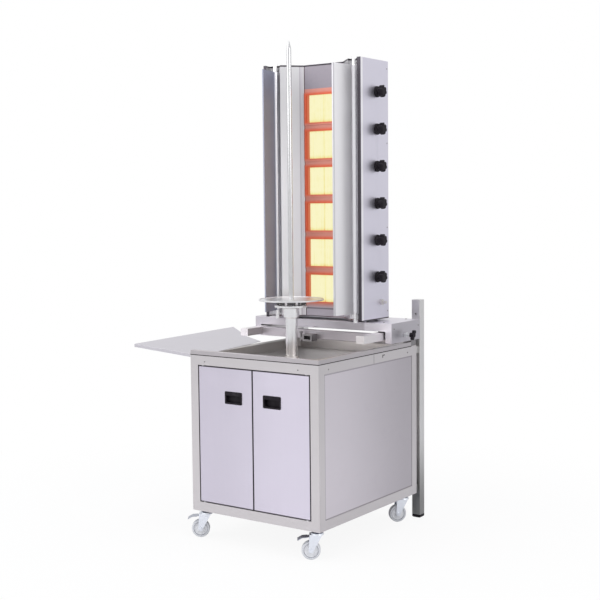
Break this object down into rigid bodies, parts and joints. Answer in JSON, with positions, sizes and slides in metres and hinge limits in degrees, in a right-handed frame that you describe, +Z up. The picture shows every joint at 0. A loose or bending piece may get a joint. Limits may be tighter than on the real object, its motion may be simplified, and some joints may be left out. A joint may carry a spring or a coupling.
{
  "type": "vertical spit grill",
  "caption": "Vertical kebab grill with a stack of glowing gas burners on a sliding tower, a driven spit and a wheeled steel cabinet with swing doors and a side shelf.",
  "frame": {"origin": "centre of the machine's overall footprint, on the floor", "axes": "+Z up, +X to the right seen from the cabinet's doors, +Y to the back, towards the burner tower"},
  "size_m": [1.107, 0.8376, 2.076],
  "materials": {
    "stainless_sheet": "satin brushed",
    "turned_steel": "turned and polished",
    "black_plastic": "moulded, satin",
    "zinc_steel": "bright zinc plating",
    "grey_wheel": "grey elastic tread",
    "dark_steel": "dark paint",
    "motor_paint": "enamel",
    "burner_steel": "heat-tinted",
    "glowing_ceramic": "glowing orange",
    "brass_fittings": "nickel-plated brass"
  },
  "bodies": {
    "root": {"cabinet_frame": "stainless_sheet", "side_panels": "stainless_sheet", "back_panel": "stainless_sheet", "floor_panel": "stainless_sheet", "door_pivots": "zinc_steel", "door_stops": "black_plastic", "drip_tray": "stainless_sheet", "top_rim": "stainless_sheet", "slide_rails": "stainless_sheet", "cross_beam": "stainless_sheet", "rail_stop": "dark_steel", "rail_stands": "stainless_sheet", "rear_posts": "stainless_sheet", "post_feet": "black_plastic", "spit_column": "stainless_sheet", "column_bearing": "turned_steel", "motor_cradle": "dark_steel", "gear_motor": "motor_paint", "side_shelf": "stainless_sheet", "shelf_arms": "stainless_sheet", "caster_plates": "zinc_steel"},
    "door_left": {"door_left": "stainless_sheet", "door_handle_left": "black_plastic"},
    "door_right": {"door_right": "stainless_sheet", "door_handle_right": "black_plastic"},
    "spit": {"drive_shaft": "turned_steel", "drive_flange": "turned_steel", "spit_disc": "stainless_sheet", "skewer": "turned_steel"},
    "carriage": {"carriage_base": "stainless_sheet", "slide_pads": "black_plastic", "tower_shell": "stainless_sheet", "tower_cheeks": "stainless_sheet", "burner_frame": "burner_steel", "tower_plates": "stainless_sheet", "burner_casings": "burner_steel", "burner_plaques": "glowing_ceramic", "gas_manifold": "brass_fittings", "gas_valves": "brass_fittings", "wing_pins": "turned_steel"},
    "lock_screw": {"lock_screw": "turned_steel", "lock_knob": "black_plastic"},
    "wing_left": {"wing_left": "stainless_sheet"},
    "wing_right": {"wing_right": "stainless_sheet"},
    "knob_1": {"knob_1": "black_plastic"},
    "knob_2": {"knob_2": "black_plastic"},
    "knob_3": {"knob_3": "black_plastic"},
    "knob_4": {"knob_4": "black_plastic"},
    "knob_5": {"knob_5": "black_plastic"},
    "knob_6": {"knob_6": "black_plastic"},
    "fork_front_left": {"fork_front_left": "zinc_steel"},
    "wheel_front_left": {"wheel_front_left": "grey_wheel"},
    "pedal_front_left": {"pedal_front_left": "zinc_steel"},
    "fork_front_right": {"fork_front_right": "zinc_steel"},
    "wheel_front_right": {"wheel_front_right": "grey_wheel"},
    "pedal_front_right": {"pedal_front_right": "zinc_steel"},
    "fork_rear_left": {"fork_rear_left": "zinc_steel"},
    "wheel_rear_left": {"wheel_rear_left": "grey_wheel"},
    "fork_rear_right": {"fork_rear_right": "zinc_steel"},
    "wheel_rear_right": {"wheel_rear_right": "grey_wheel"}
  },
  "joints": [
    {"name": "door_left_hinge", "type": "hinge", "parent": "root", "child": "door_left", "pos_m": [-0.1175, -0.38616, 0.45], "axis": [0, 0, -1], "range_deg": [0, 110]},
    {"name": "door_right_hinge", "type": "hinge", "parent": "root", "child": "door_right", "pos_m": [0.4105, -0.38616, 0.45], "axis": [0, 0, 1], "range_deg": [0, 110]},
    {"name": "spit_spin", "type": "hinge", "parent": "root", "child": "spit", "pos_m": [0.1465, -0.12115, 1], "axis": [0, 0, 1], "continuous": true},
    {"name": "carriage_slide", "type": "slide", "parent": "root", "child": "carriage", "axis": [0, -1, 0], "range_m": [-0.03, 0.095]},
    {"name": "wing_left_hinge", "type": "hinge", "parent": "carriage", "child": "wing_left", "pos_m": [-0.058, 0.05885, 1.45], "axis": [0, 0, -1], "range_deg": [-14, 50]},
    {"name": "wing_right_hinge", "type": "hinge", "parent": "carriage", "child": "wing_right", "pos_m": [0.351, 0.05885, 1.45], "axis": [0, 0, 1], "range_deg": [-14, 50]},
    {"name": "lock_screw_turn", "type": "hinge", "parent": "carriage", "child": "lock_screw", "pos_m": [0.5215, 0.20384, 0.845], "axis": [1, 0, 0], "range_deg": [-180, 180]},
    {"name": "knob_1_turn", "type": "hinge", "parent": "carriage", "child": "knob_1", "pos_m": [0.4115, 0.16184, 1.091], "axis": [1, 0, 0], "range_deg": [0, 180]},
    {"name": "knob_2_turn", "type": "hinge", "parent": "carriage", "child": "knob_2", "pos_m": [0.4115, 0.16184, 1.2473], "axis": [1, 0, 0], "range_deg": [0, 180]},
    {"name": "knob_3_turn", "type": "hinge", "parent": "carriage", "child": "knob_3", "pos_m": [0.4115, 0.16184, 1.4036], "axis": [1, 0, 0], "range_deg": [0, 180]},
    {"name": "knob_4_turn", "type": "hinge", "parent": "carriage", "child": "knob_4", "pos_m": [0.4115, 0.16184, 1.5599], "axis": [1, 0, 0], "range_deg": [0, 180]},
    {"name": "knob_5_turn", "type": "hinge", "parent": "carriage", "child": "knob_5", "pos_m": [0.4115, 0.16184, 1.7162], "axis": [1, 0, 0], "range_deg": [0, 180]},
    {"name": "knob_6_turn", "type": "hinge", "parent": "carriage", "child": "knob_6", "pos_m": [0.4115, 0.16184, 1.8725], "axis": [1, 0, 0], "range_deg": [0, 180]},
    {"name": "swivel_front_left", "type": "hinge", "parent": "root", "child": "fork_front_left", "pos_m": [-0.1385, -0.35615, 0.104], "axis": [0, 0, 1], "continuous": true},
    {"name": "roll_front_left", "type": "hinge", "parent": "fork_front_left", "child": "wheel_front_left", "pos_m": [-0.15885, -0.37067, 0.038], "axis": [0.5807, -0.8141, 0], "continuous": true},
    {"name": "brake_front_left", "type": "hinge", "parent": "fork_front_left", "child": "pedal_front_left", "pos_m": [-0.15967, -0.37125, 0.091], "axis": [0.5807, -0.8141, 0], "range_deg": [0, 12]},
    {"name": "swivel_front_right", "type": "hinge", "parent": "root", "child": "fork_front_right", "pos_m": [0.4315, -0.35615, 0.104], "axis": [0, 0, 1], "continuous": true},
    {"name": "roll_front_right", "type": "hinge", "parent": "fork_front_right", "child": "wheel_front_right", "pos_m": [0.41115, -0.37067, 0.038], "axis": [0.5807, -0.8141, 0], "continuous": true},
    {"name": "brake_front_right", "type": "hinge", "parent": "fork_front_right", "child": "pedal_front_right", "pos_m": [0.41033, -0.37125, 0.091], "axis": [0.5807, -0.8141, 0], "range_deg": [0, 12]},
    {"name": "swivel_rear_left", "type": "hinge", "parent": "root", "child": "fork_rear_left", "pos_m": [-0.1385, 0.30984, 0.104], "axis": [0, 0, 1], "continuous": true},
    {"name": "roll_rear_left", "type": "hinge", "parent": "fork_rear_left", "child": "wheel_rear_left", "pos_m": [-0.15539, 0.29141, 0.038], "axis": [0.7373, -0.6756, 0], "continuous": true},
    {"name": "swivel_rear_right", "type": "hinge", "parent": "root", "child": "fork_rear_right", "pos_m": [0.4315, 0.30984, 0.104], "axis": [0, 0, 1], "continuous": true},
    {"name": "roll_rear_right", "type": "hinge", "parent": "fork_rear_right", "child": "wheel_rear_right", "pos_m": [0.41461, 0.29141, 0.038], "axis": [0.7373, -0.6756, 0], "continuous": true}
  ]
}
